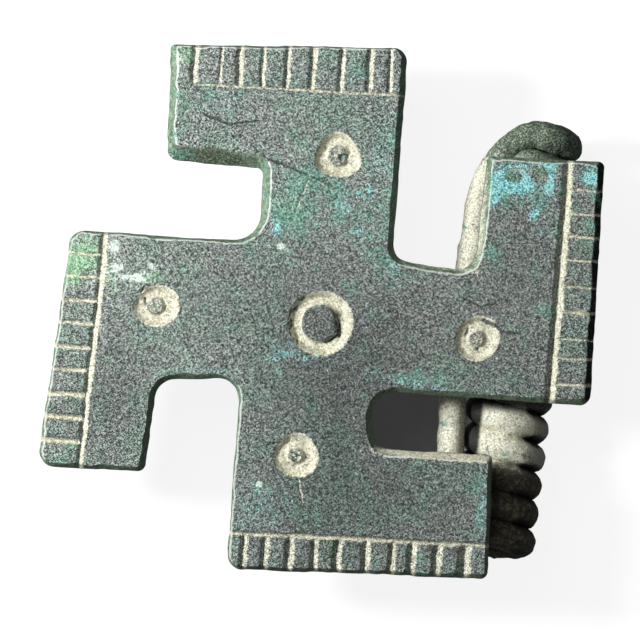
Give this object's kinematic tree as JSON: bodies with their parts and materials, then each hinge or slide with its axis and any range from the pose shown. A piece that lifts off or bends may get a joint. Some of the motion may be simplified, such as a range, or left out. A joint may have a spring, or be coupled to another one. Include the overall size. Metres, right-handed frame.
{
  "type": "roman plate brooch",
  "caption": "Flat cast bronze brooch with hooked cross arms, incised bands and ring-and-dot marks, with a coil spring, chord, pin and catch behind.",
  "frame": {"origin": "middle of the outline seen from above, on the surface that the brooch lies on, face up", "axes": "+Z out of the decorated front, +X towards the arm that carries the spring, +Y along the spring towards the end of the top arm"},
  "size_m": [0.0342, 0.0334, 0.0081],
  "materials": {
    "plate": "dark grey-green bronze patina with turquoise patches and chalky cream deposit in the cuts",
    "spring": "brown and green bronze patina under a cream chalky deposit",
    "rod": "dark brown patina",
    "pin": "brown-green bronze patina"
  },
  "bodies": {
    "root": {"plate": "plate", "spring": "spring", "spring_axis": "rod"},
    "pin": {"pin": "pin"}
  },
  "joints": [
    {"name": "pin_swing", "type": "hinge", "parent": "root", "child": "pin", "pos_m": [0.01255, 0.00122, 0.0026], "axis": [-0.0495, -0.9988, 0], "range_deg": [-4, 60], "stiffness_Nm_per_rad": 0.02}
  ]
}
